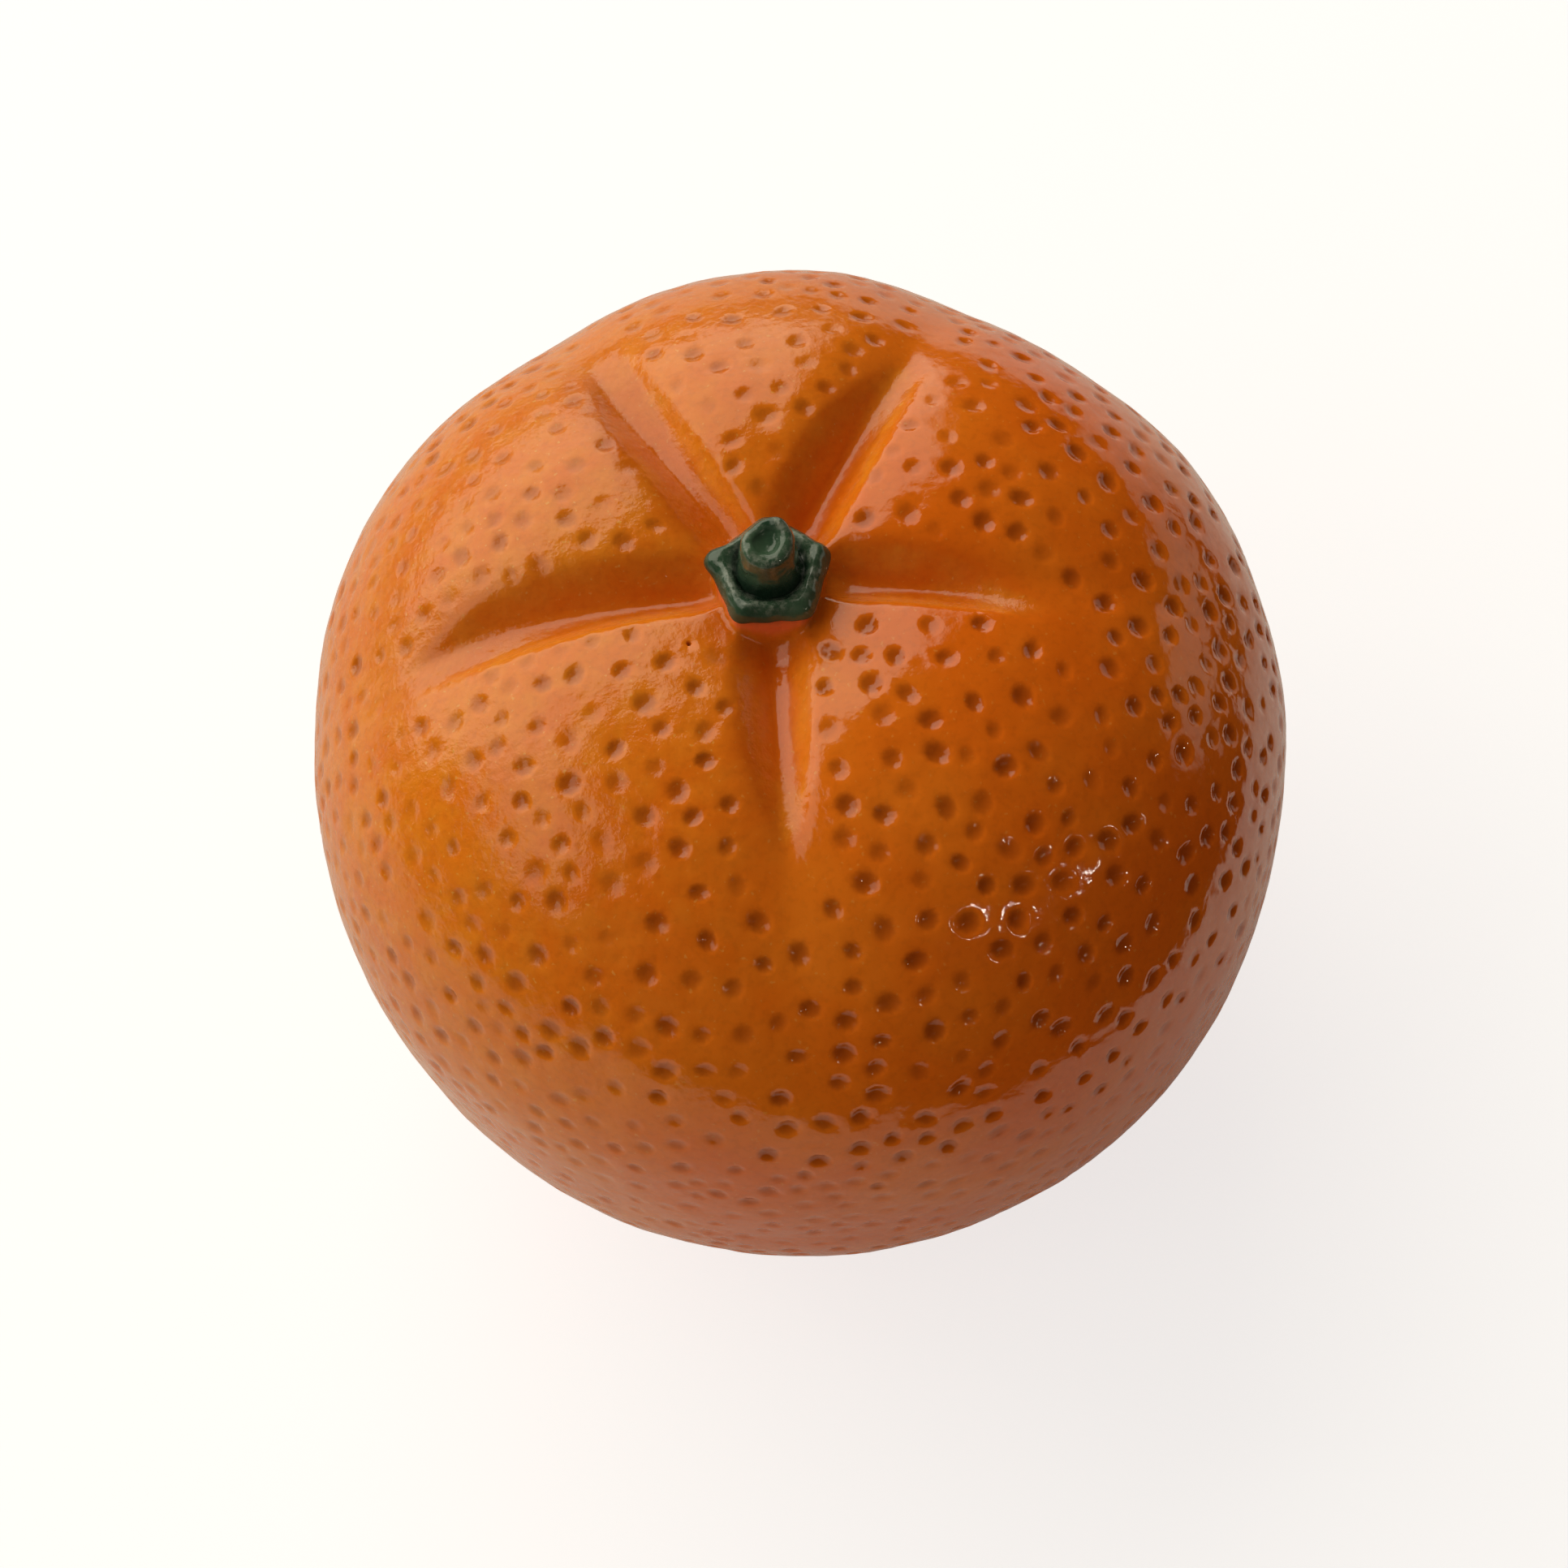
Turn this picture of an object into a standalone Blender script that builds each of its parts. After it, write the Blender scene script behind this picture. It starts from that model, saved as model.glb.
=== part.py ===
"""Glazed ceramic mandarin orange: a hollow slip-cast body with a sprigged calyx and stem.

Frame: +Z up, origin on the table plane under the middle of the figure, -Y towards the front.
The body is one turned wall: outside, foot ring, recess, vent hole and cavity. Five furrows are
pressed into its shoulder. A pentagonal seat in its crown carries the calyx, and the calyx
carries the stem. The three pieces are luted together and none of them moves.
"""

import math

import bmesh
import bpy

MM = 0.001

# Body
BODY_RADIUS = 38.4 * MM
EQUATOR_HEIGHT = 31 * MM
CROWN_RISE = 35.8 * MM
BELLY_DROP = 32.0 * MM
CROWN_EXPONENT = 2.7
BELLY_EXPONENT = 2.25
WALL = 4.6 * MM
CROWN_WALL = 7.8 * MM
LUTING_GAP = 0.3 * MM

# Crown hollow, and the five-sided seat in it
HOLLOW_DEPTH = 3.1 * MM
HOLLOW_RADIUS = 10.0 * MM
SEAT_APOTHEM = 3.3 * MM
SEAT_EDGE = 3.9 * MM
SEAT_RISE = 1.4 * MM
FIRST_CORNER = 301.0

# Furrows: the direction of each in degrees and its steep side (1 for anticlockwise, -1 for
# clockwise); then, in millimetres, how far from the axis it ends, its depth, its crease's offset
# to the anticlockwise side with the bend per (10 mm) squared, its floor's width and the waist below
FURROWS = (
    (56.0, -1, 23.5, 1.9, -0.85, -0.27, 1.4, 0.75),
    (116.5, -1, 27.0, 1.45, -0.6, -0.33, 1.4, 0.45),
    (178.5, 1, 28.5, 1.6, 0.3, 0.45, 1.4, 0.35),
    (264.8, 1, 21.8, 1.9, 0.85, 0.12, 1.2, 0.2),
    (351.5, -1, 20.8, 1.6, -0.15, -0.85, 1.2, 0.0),
)
FURROW_FALL = 0.2
FURROW_START = 1.5 * MM
FURROW_FULL = 7.5 * MM
STEEP_SIDE_WIDTH = 2.0 * MM
GENTLE_SIDE_WIDTH = 3.2 * MM

# Lobes between the furrows: their fall towards each furrow
LOBE_DROP = 1.5 * MM
LOBE_ROUNDNESS = 2.6

# A slight flat on one side: its direction and half-width in degrees, and its depth
FLAT_DIRECTION = 36.0
FLAT_WIDTH = 15.0
FLAT_DEPTH = 0.7 * MM

# Foot and vent
FOOT_OUTER = 15.5 * MM
FOOT_INNER = 11.5 * MM
FOOT_EDGE = 0.3 * MM
RECESS_RADIUS = 10.3 * MM
RECESS_DEPTH = 1.2 * MM
VENT_RADIUS = 4.5 * MM
VENT_CHAMFER = 0.5 * MM

# Calyx
CALYX_APOTHEM = 3.6 * MM
CALYX_THICKNESS = 1.5 * MM
CALYX_DISH = 0.6 * MM
CALYX_DISH_RADIUS = 2.4 * MM
CALYX_EDGE = 0.35 * MM

# Stem
STEM_FOOT_RADIUS = 2.1 * MM
STEM_TOP_RADIUS = 1.75 * MM
STEM_HEIGHT = 3.7 * MM
STEM_SLANT = 12.0
STEM_PIT_RADIUS = 0.9 * MM
STEM_PIT_DEPTH = 0.7 * MM
STEM_EDGE = 0.35 * MM

# Mesh resolution
BODY_SIDES = 112
OUTSIDE_POINTS = 28
CAVITY_POINTS = 14
CALYX_SIDES = 40
STEM_SIDES = 28
WELD_DISTANCE = 0.001 * MM

# Heights that follow from the sizes above
SEAT_TOP = EQUATOR_HEIGHT + CROWN_RISE - HOLLOW_DEPTH + SEAT_RISE
CALYX_BASE = SEAT_TOP + LUTING_GAP
CALYX_TOP = CALYX_BASE + CALYX_THICKNESS
CALYX_FLOOR = CALYX_TOP - CALYX_DISH
STEM_BASE = CALYX_FLOOR + LUTING_GAP
STEM_TOP = STEM_BASE + STEM_HEIGHT


def clear_scene():
    for obj in list(bpy.data.objects):
        bpy.data.objects.remove(obj)


def glaze(name, colour, roughness):
    """A Principled material of one glaze."""
    material = bpy.data.materials.new(name)
    material.use_nodes = True
    shader = material.node_tree.nodes["Principled BSDF"]
    shader.inputs["Base Color"].default_value = (*colour, 1.0)
    shader.inputs["Roughness"].default_value = roughness
    shader.inputs["Metallic"].default_value = 0.0
    return material


def smooth_step(low, high, value):
    """0 below low, 1 above high, and a smooth rise between."""
    share = min(1.0, max(0.0, (value - low) / (high - low)))
    return share * share * (3 - 2 * share)


def superellipse(angle, radius, rise, exponent):
    """(radius, height) on a superellipse, at an angle in radians from the upward axis."""
    power = 2 / exponent
    height = rise * math.copysign(abs(math.cos(angle)) ** power, math.cos(angle))
    return radius * math.sin(angle) ** power, height


def superellipse_angle(share, exponent):
    """The angle from the axis at which the radius is this share of the full radius."""
    return math.asin(share ** (exponent / 2))


def outside_profile():
    """The round outside from the edge of the crown's seat down to the foot ring."""
    start = superellipse_angle(SEAT_EDGE / BODY_RADIUS, CROWN_EXPONENT)
    end = math.pi - superellipse_angle((FOOT_OUTER + FOOT_EDGE) / BODY_RADIUS, BELLY_EXPONENT)
    points = []
    for k in range(OUTSIDE_POINTS + 1):
        angle = start + (end - start) * k / OUTSIDE_POINTS
        on_crown = angle < math.pi / 2
        rise = CROWN_RISE if on_crown else BELLY_DROP
        exponent = CROWN_EXPONENT if on_crown else BELLY_EXPONENT
        radius, height = superellipse(angle, BODY_RADIUS, rise, exponent)
        points.append((radius, EQUATOR_HEIGHT + height))
    return points


def foot_profile():
    """Foot ring, recess and vent hole, from the outside to the cavity's floor."""
    return [
        (FOOT_OUTER + FOOT_EDGE, FOOT_EDGE),
        (FOOT_OUTER, 0),
        (FOOT_INNER, 0),
        (RECESS_RADIUS, RECESS_DEPTH),
        (VENT_RADIUS + VENT_CHAMFER, RECESS_DEPTH),
        (VENT_RADIUS, RECESS_DEPTH + VENT_CHAMFER),
        (VENT_RADIUS, RECESS_DEPTH + WALL),
    ]


def cavity_profile():
    """The inside, from near the vent's inner mouth up to the crown."""
    radius = BODY_RADIUS - WALL
    floor_drop = EQUATOR_HEIGHT - RECESS_DEPTH - WALL
    crown_rise = CROWN_RISE - CROWN_WALL
    start = math.pi - superellipse_angle(1.6 * VENT_RADIUS / radius, BELLY_EXPONENT)
    points = []
    for k in range(CAVITY_POINTS):
        angle = start * (1 - k / CAVITY_POINTS)
        rise = floor_drop if angle > math.pi / 2 else crown_rise
        across, height = superellipse(angle, radius, rise, BELLY_EXPONENT)
        points.append((across, EQUATOR_HEIGHT + height))
    points.append((0, EQUATOR_HEIGHT + crown_rise))
    return points


def turn(profile, sides):
    """Spins a profile that runs from axis to axis into one closed mesh."""
    work = bmesh.new()
    points = [work.verts.new((radius, 0, height)) for radius, height in profile]
    edges = [work.edges.new(pair) for pair in zip(points, points[1:])]
    bmesh.ops.spin(
        work, geom=points + edges, cent=(0, 0, 0), axis=(0, 0, 1), angle=math.tau, steps=sides
    )
    bmesh.ops.remove_doubles(work, verts=work.verts[:], dist=WELD_DISTANCE)
    bmesh.ops.recalc_face_normals(work, faces=work.faces[:])
    return work


def five_sided(co):
    """A point of a turned piece moved out to a pentagon with soft corners."""
    from_flat = (math.degrees(math.atan2(co.y, co.x)) - FIRST_CORNER) % 72 - 36
    stretch = 0.65 / math.cos(math.radians(from_flat)) + 0.38
    co.x *= stretch
    co.y *= stretch


def outward_normal(radius, height):
    """(outward, upward) parts of the round body's normal at a point over the equator's plane."""
    power = CROWN_EXPONENT if height > 0 else BELLY_EXPONENT
    rise = CROWN_RISE if height > 0 else BELLY_DROP
    outward = (radius / BODY_RADIUS) ** (power - 1) / BODY_RADIUS
    upward = math.copysign((abs(height) / rise) ** (power - 1) / rise, height)
    length = math.hypot(outward, upward)
    return outward / length, upward / length


def share_of_lobe(azimuth):
    """-1 on the furrow before a lobe, 0 at its middle and 1 on the furrow after it; and the waist."""
    for before, after in zip(FURROWS, FURROWS[1:] + FURROWS[:1]):
        width = (after[0] - before[0]) % 360
        turned = (azimuth - before[0]) % 360
        if turned < width:
            place = 2 * turned / width - 1
            nearest = before if place < 0 else after
            return place, nearest[-1] * MM
    return 1.0, 0.0


def furrow_cut(co, furrow):
    """Depth of one pressed furrow: a floor between a steep and a gentle side, rising to its end."""
    direction, steep_side, reach, deepest, offset, bend, floor, _ = furrow
    along_x, along_y = math.cos(math.radians(direction)), math.sin(math.radians(direction))
    along = co.x * along_x + co.y * along_y
    crease = (offset + bend * (along / (10 * MM)) ** 2) * MM
    aside = steep_side * (co.y * along_x - co.x * along_y - crease)
    depth = min(deepest * MM, max(0.0, FURROW_FALL * (reach * MM - along)))
    depth *= smooth_step(FURROW_START, FURROW_FULL, along)
    if aside > 0:
        return depth * (1 - smooth_step(0, STEEP_SIDE_WIDTH, aside))
    return depth * (1 - smooth_step(floor * MM, floor * MM + GENTLE_SIDE_WIDTH, -aside))


def sink_at(co):
    """How far the finished skin lies inside the round body at one of its points."""
    radius = math.hypot(co.x, co.y)
    height = co.z - EQUATOR_HEIGHT
    polar = math.degrees(math.atan2(radius, height))
    azimuth = math.degrees(math.atan2(co.y, co.x))
    place, waist_drop = share_of_lobe(azimuth)
    lobe = smooth_step(3, 24, polar) * (1 - smooth_step(26, 72, polar))
    waist = smooth_step(30, 60, polar) * (1 - smooth_step(80, 125, polar))
    sink = LOBE_DROP * lobe * abs(place) ** LOBE_ROUNDNESS
    sink += waist_drop * waist * (0.5 - 0.5 * math.cos(math.pi * place)) ** 1.5
    sink += FLAT_DEPTH * waist * math.exp(-(((azimuth - FLAT_DIRECTION) / FLAT_WIDTH) ** 2))
    if height > 0:
        sink += max(furrow_cut(co, furrow) for furrow in FURROWS)
        sink += HOLLOW_DEPTH * math.exp(-((radius / HOLLOW_RADIUS) ** 2))
    return sink


def press_in(co):
    """Moves a point of the round outside to the lobed, furrowed and hollowed skin."""
    radius = math.hypot(co.x, co.y)
    outward, upward = outward_normal(radius, co.z - EQUATOR_HEIGHT)
    sink = sink_at(co)
    co.x -= co.x / radius * outward * sink
    co.y -= co.y / radius * outward * sink
    co.z -= upward * sink


def is_outside(co):
    """Whether a point of the wall lies beyond the middle of its thickness, above the foot."""
    middle = BODY_RADIUS - WALL / 2
    rise = CROWN_RISE - CROWN_WALL / 2
    share = (math.hypot(co.x, co.y) / middle) ** BELLY_EXPONENT
    share += (abs(co.z - EQUATOR_HEIGHT) / rise) ** BELLY_EXPONENT
    return share > 1 and co.z > RECESS_DEPTH


def finish_piece(name, work, material):
    """Turns the worked mesh into a named object with smooth shading."""
    bmesh.ops.triangulate(work, faces=work.faces[:])
    mesh = bpy.data.meshes.new(name)
    work.to_mesh(mesh)
    work.free()
    mesh.shade_smooth()
    mesh.set_sharp_from_angle(angle=math.radians(35))
    mesh.materials.append(material)
    obj = bpy.data.objects.new(name, mesh)
    bpy.context.scene.collection.objects.link(obj)


def make_body(material):
    """Slip-cast body: seat, outside, foot ring, recess, vent hole and cavity as one wall."""
    seat = [(0, SEAT_TOP), (SEAT_APOTHEM, SEAT_TOP)]
    work = turn(seat + outside_profile() + foot_profile() + cavity_profile(), BODY_SIDES)
    for vert in work.verts:
        if not is_outside(vert.co):
            continue
        radius = math.hypot(vert.co.x, vert.co.y)
        on_crown = vert.co.z > EQUATOR_HEIGHT
        if on_crown and radius < 1.01 * SEAT_EDGE:
            five_sided(vert.co)
        if not on_crown or radius > 1.01 * SEAT_APOTHEM:
            press_in(vert.co)
    finish_piece("fruit_body", work, material)


def make_calyx(material):
    """Calyx: a five-sided button of clay, dished inside a raised and rounded rim."""
    profile = [
        (0, CALYX_FLOOR),
        (CALYX_DISH_RADIUS, CALYX_FLOOR),
        (CALYX_APOTHEM - 2.5 * CALYX_EDGE, CALYX_TOP - 0.3 * CALYX_EDGE),
        (CALYX_APOTHEM - 1.5 * CALYX_EDGE, CALYX_TOP),
        (CALYX_APOTHEM - 0.3 * CALYX_EDGE, CALYX_TOP - 0.3 * CALYX_EDGE),
        (CALYX_APOTHEM, CALYX_TOP - CALYX_EDGE),
        (CALYX_APOTHEM, CALYX_BASE + CALYX_EDGE),
        (CALYX_APOTHEM - 0.5 * CALYX_EDGE, CALYX_BASE),
        (0, CALYX_BASE),
    ]
    work = turn(profile, CALYX_SIDES)
    for vert in work.verts:
        on_floor = abs(vert.co.z - CALYX_FLOOR) < WELD_DISTANCE
        if not on_floor:
            five_sided(vert.co)
    finish_piece("calyx", work, material)


def make_stem(material):
    """Stem stub: a short tapered roll of clay, cut on a slant, with a pit poked in its end."""
    profile = [
        (0, STEM_TOP - STEM_PIT_DEPTH),
        (0.6 * STEM_PIT_RADIUS, STEM_TOP - 0.75 * STEM_PIT_DEPTH),
        (STEM_PIT_RADIUS, STEM_TOP),
        (STEM_TOP_RADIUS - STEM_EDGE, STEM_TOP),
        (STEM_TOP_RADIUS - 0.3 * STEM_EDGE, STEM_TOP - 0.3 * STEM_EDGE),
        (STEM_TOP_RADIUS, STEM_TOP - STEM_EDGE),
        (0.92 * STEM_FOOT_RADIUS, STEM_BASE + 0.3 * STEM_HEIGHT),
        (STEM_FOOT_RADIUS, STEM_BASE),
        (0, STEM_BASE),
    ]
    work = turn(profile, STEM_SIDES)
    slant = math.tan(math.radians(STEM_SLANT))
    for vert in work.verts:
        if vert.co.z > STEM_BASE + 0.5 * STEM_HEIGHT:
            vert.co.z += slant * vert.co.y
    finish_piece("stem", work, material)


def main():
    clear_scene()
    orange = glaze("orange_glaze", (0.58, 0.165, 0.012), 0.12)
    green = glaze("green_glaze", (0.030, 0.062, 0.042), 0.32)
    make_body(orange)
    make_calyx(green)
    make_stem(green)


main()
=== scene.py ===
"""Looks of a glazed ceramic mandarin orange: dimpled skin, pressed furrows, green calyx and stem.

Lengths in the shape functions are millimetres from the middle of the body's equator, and
directions are degrees anticlockwise from +X, seen from above. Meshes are moved to the
frame's metres when they are made.
"""

import math

import bpy
import numpy as np
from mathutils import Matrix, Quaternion, Vector, kdtree, noise
from mathutils.geometry import delaunay_2d_cdt


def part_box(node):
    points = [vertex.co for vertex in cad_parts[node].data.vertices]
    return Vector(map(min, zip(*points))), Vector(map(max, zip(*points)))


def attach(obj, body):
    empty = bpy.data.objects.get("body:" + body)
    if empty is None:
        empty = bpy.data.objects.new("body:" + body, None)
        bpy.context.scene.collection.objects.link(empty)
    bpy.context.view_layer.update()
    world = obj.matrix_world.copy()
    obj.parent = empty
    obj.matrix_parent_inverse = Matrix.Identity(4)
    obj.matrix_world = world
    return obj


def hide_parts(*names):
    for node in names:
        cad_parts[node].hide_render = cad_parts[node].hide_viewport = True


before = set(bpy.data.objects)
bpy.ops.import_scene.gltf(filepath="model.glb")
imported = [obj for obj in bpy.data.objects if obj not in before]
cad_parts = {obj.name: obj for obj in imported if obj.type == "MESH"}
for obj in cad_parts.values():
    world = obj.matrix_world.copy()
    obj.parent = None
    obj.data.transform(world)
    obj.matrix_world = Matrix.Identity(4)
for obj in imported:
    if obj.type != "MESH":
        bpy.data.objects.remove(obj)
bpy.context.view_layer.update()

CALYX_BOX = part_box("calyx")
STEM_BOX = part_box("stem")

MM = 0.001

# Body, in millimetres
BODY_RADIUS = 38.4
EQUATOR_HEIGHT = 31.0
CROWN_RISE = 35.8
BELLY_DROP = 32.0
CROWN_EXPONENT = 2.7
BELLY_EXPONENT = 2.25
HOLLOW_DEPTH = 3.1
HOLLOW_RADIUS = 10.0

# Furrows: direction in degrees, distance from the axis at which each one ends, which side of it
# is steep (1 for anticlockwise, -1 for clockwise), its depth, its crease's offset to the
# anticlockwise side with the bend per (10 mm) squared, and its floor's width with the widening
# per 10 mm
FURROWS = (
    (56.0, 23.5, -1, 1.9, -0.85, -0.27, 1.2, 0.25),
    (116.5, 27.0, -1, 1.45, -0.6, -0.33, 0.5, 0.95),
    (178.5, 28.5, 1, 1.6, 0.3, 0.45, 0.3, 1.0),
    (264.8, 21.8, 1, 1.9, 0.85, 0.12, 1.2, 0.0),
    (351.5, 20.8, -1, 1.6, -0.15, -0.85, 1.2, 0.0),
)
DEEPEST_CUT = 1.9
FURROW_FALL = 0.2
FURROW_TAIL = 1.0
FURROW_END_ROUNDING = 0.9
FURROW_START, FURROW_FULL = 0.5, 6.0
TOOL_SECTION = (
    # place across the pressing tool, with its floor from -1 to 0, and the height of its edge there
    (-6.0, 3.1), (-3.8, 1.75), (-2.2, 0.68), (-1.4, 0.14), (-1.0, 0.0), (0.0, 0.32), (0.1, 0.38),
    (5.0, 5.2),
)
TOOL_ROUNDING = 0.3
TOOL_BLUR = (-0.16, -0.08, 0.0, 0.08, 0.16)

# Lobes between the furrows, the waist below each furrow, and a slight flat on one side
LOBE_DROP = 1.5
LOBE_ROUNDNESS = 2.6
WAIST_DROP = (0.75, 0.45, 0.35, 0.2, 0.0)
FLAT_DIRECTION, FLAT_WIDTH, FLAT_DEPTH = 36.0, 15.0, 0.7

# Seat of the calyx
SEAT_RISE = 1.4
SEAT_MIDDLE = (-0.22, -0.18)
SEAT_APOTHEM = 3.36
FIRST_CORNER = 301.0

# Dimples, deepest on the open side. The pinhole is at a direction and a distance from the axis,
# and its clearance is an angle in radians
DIMPLE_SEED = 7
DIMPLE_TRIES = 60000
DIMPLE_RADIUS = (0.7, 0.96)
DIMPLE_DEPTH = (0.15, 0.38)
DIMPLE_SPACING = 2.2
DIMPLE_LOWEST = 148.0
FURROW_CLEARANCE = 3.1
CROWN_CLEARANCE = 6.3
NEIGHBOUR_CELL = 3.2
OPEN_SIDE = (0.64, -0.77, 0.0)
PINHOLE_PLACE = (212.0, 7.5)
PINHOLE_RADIUS = 0.2
PINHOLE_DEPTH = 0.3
PINHOLE_CLEARANCE = 0.045

# Rings of points that shape each dimple: share of its radius, points, share of its depth, share of its
# painted shade
RING_SHARES = (0.38, 0.70, 0.95, 1.22)
RING_POINTS = (5, 8, 10, 11)
RING_SINK = (0.82, 0.40, 0.02, -0.12)
RING_PIT_SHADE = (1.0, 0.75, 0.25, 0.0)

# Side on which the glaze runs thin
THIN_SIDE = (-0.85, 0.2, 0.45)

# Mesh spacing; the bands are polar angles in radians
MEAN_RADIUS = 36.0
FURROW_BAND = 0.85
CROWN_BAND = 0.2
SKIN_SPACING = 0.85
FURROW_SPACING = 0.45
CROWN_SPACING = 0.3
SKIN_END = 152.0
SKIN_END_POINTS = 150

# Foot, vent and cavity, as (radius, height over the table)
FOOT_PROFILE = (
    (15.85, 0.75), (15.8, 0.35), (15.7, 0.12), (15.4, 0.0), (12.0, 0.0), (11.6, 0.1), (11.3, 0.4),
    (10.6, 1.0), (9.8, 1.2), (5.2, 1.2), (4.8, 1.35), (4.5, 1.8), (4.5, 5.2), (4.9, 5.7), (5.6, 5.9),
)
CAVITY_WALL = 4.6
CAVITY_CROWN = 28.0
CAVITY_RINGS = 18
CAVITY_START = 2.86
RECESS_DEPTH = 1.2

# Camera: degrees, body radii and millimetres, and its shift as shares of the frame's width
CAMERA_ELEVATION = 65.9
CAMERA_ROLL = 8.63
CAMERA_DISTANCE = 5
CAMERA_LENS = 53.7
CAMERA_SHIFT = (-0.0113871636, -0.0036231884)

# Small lamps: direction and elevation of each in degrees, then what they share
LAMPS = ((312, 26), (297, 35), (328, 22))
LAMP_DISTANCE = 1.3
LAMP_SIZE = (0.006, 0.006)
LAMP_RADIANCE = 2000.0
LAMP_TINT = (1.0, 0.9, 0.72)


def smooth_step(low, high, value):
    """0 below low, 1 above high, and a smooth rise between, for arrays or numbers."""
    share = np.clip((value - low) / (high - low), 0.0, 1.0)
    return share * share * (3 - 2 * share)


def toward(azimuth, direction, width):
    """1 in a direction and falling off round it, all in degrees."""
    return np.exp(-((((azimuth - direction + 180) % 360 - 180) / width) ** 2))


def round_over(value, size):
    """Value where it is positive and 0 elsewhere, with a rounded corner of this size."""
    middle = (np.clip(value, -size, size) + size) ** 2 / (4 * size)
    return np.where(value > size, value, middle)


# ---------------------------------------------------------------- shape of the body


def base_surface(unit):
    """Points and normals of the plain round body along unit directions from its middle."""
    across = np.hypot(unit[:, 0], unit[:, 1])
    up = unit[:, 2]
    power = np.where(up >= 0, CROWN_EXPONENT, BELLY_EXPONENT)
    rise = np.where(up >= 0, CROWN_RISE, BELLY_DROP)
    reach = ((across / BODY_RADIUS) ** power + (np.abs(up) / rise) ** power) ** (-1 / power)
    points = unit * reach[:, None]
    radius = np.maximum(across * reach, 1e-6)
    outward = (radius / BODY_RADIUS) ** (power - 1) / BODY_RADIUS
    upward = np.sign(up) * (np.abs(points[:, 2]) / rise) ** (power - 1) / rise
    normals = np.stack(
        [points[:, 0] / radius * outward, points[:, 1] / radius * outward, upward], axis=1
    )
    normals /= np.linalg.norm(normals, axis=1)[:, None]
    return points, normals


def between_furrows(azimuth):
    """-1 on the furrow before a lobe, 0 at its middle and 1 on the furrow after it; and the waist."""
    place = np.zeros_like(azimuth)
    waist = np.zeros_like(azimuth)
    following = FURROWS[1:] + FURROWS[:1]
    next_waist = WAIST_DROP[1:] + WAIST_DROP[:1]
    for before, after, waist_before, waist_after in zip(FURROWS, following, WAIST_DROP, next_waist):
        width = (after[0] - before[0]) % 360
        turned = (azimuth - before[0]) % 360
        within = turned < width
        place = np.where(within, 2 * turned / width - 1, place)
        waist = np.where(within, np.where(place < 0, waist_before, waist_after), waist)
    return place, waist


def along_and_aside(points, furrow):
    """Distance along a furrow and, to its anticlockwise side, from its crease."""
    direction, _, _, _, offset, bend = furrow[:6]
    along_x, along_y = math.cos(math.radians(direction)), math.sin(math.radians(direction))
    along = points[:, 0] * along_x + points[:, 1] * along_y
    aside = points[:, 1] * along_x - points[:, 0] * along_y
    return along, aside - offset - bend * (along / 10) ** 2


def floor_width(along, floor, widening):
    """Width of a furrow's floor at a distance along it."""
    return floor + widening * np.clip(along / 10, 0.0, 2.0)


def furrow_cut(points, furrow):
    """Depth of one pressed furrow: a tool's edge sunk deep by the calyx and rising to a point."""
    _, reach, steep_side, deepest, _, _, floor, widening = furrow
    along, aside = along_and_aside(points, furrow)
    rising = FURROW_FALL * (reach - FURROW_TAIL - along)
    depth = deepest - round_over(deepest - rising, FURROW_END_ROUNDING)
    depth = depth * smooth_step(FURROW_START, FURROW_FULL, along)
    floor = floor_width(along, floor, widening)
    places, heights = zip(*TOOL_SECTION)
    edge = np.zeros(len(points))
    for shift in TOOL_BLUR:
        across = steep_side * aside + shift
        across = np.where(across < -floor, across + floor - 1, np.where(across < 0, across / floor, across))
        edge += np.interp(across, places, heights) / len(TOOL_BLUR)
    return round_over(depth - edge, TOOL_ROUNDING) * (points[:, 2] > 0)


def seat_rise(points):
    """Height of the five-sided seat under the calyx."""
    across, along = points[:, 0] - SEAT_MIDDLE[0], points[:, 1] - SEAT_MIDDLE[1]
    azimuth = np.degrees(np.arctan2(along, across))
    from_flat = np.radians((azimuth - FIRST_CORNER) % 72 - 36)
    apothem = np.hypot(across, along) * (0.25 + 0.75 * np.cos(from_flat))
    return SEAT_RISE * smooth_step(SEAT_APOTHEM + 0.35, SEAT_APOTHEM - 0.15, apothem)


def hand_unevenness(points):
    """Slow swells left by the hands that shaped the clay."""
    swell = [
        0.16 * noise.noise(Vector(p) / 9.0) + 0.07 * noise.noise(Vector(p) / 3.6 + Vector((7, 3, 1)))
        for p in points
    ]
    return np.array(swell)


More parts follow.
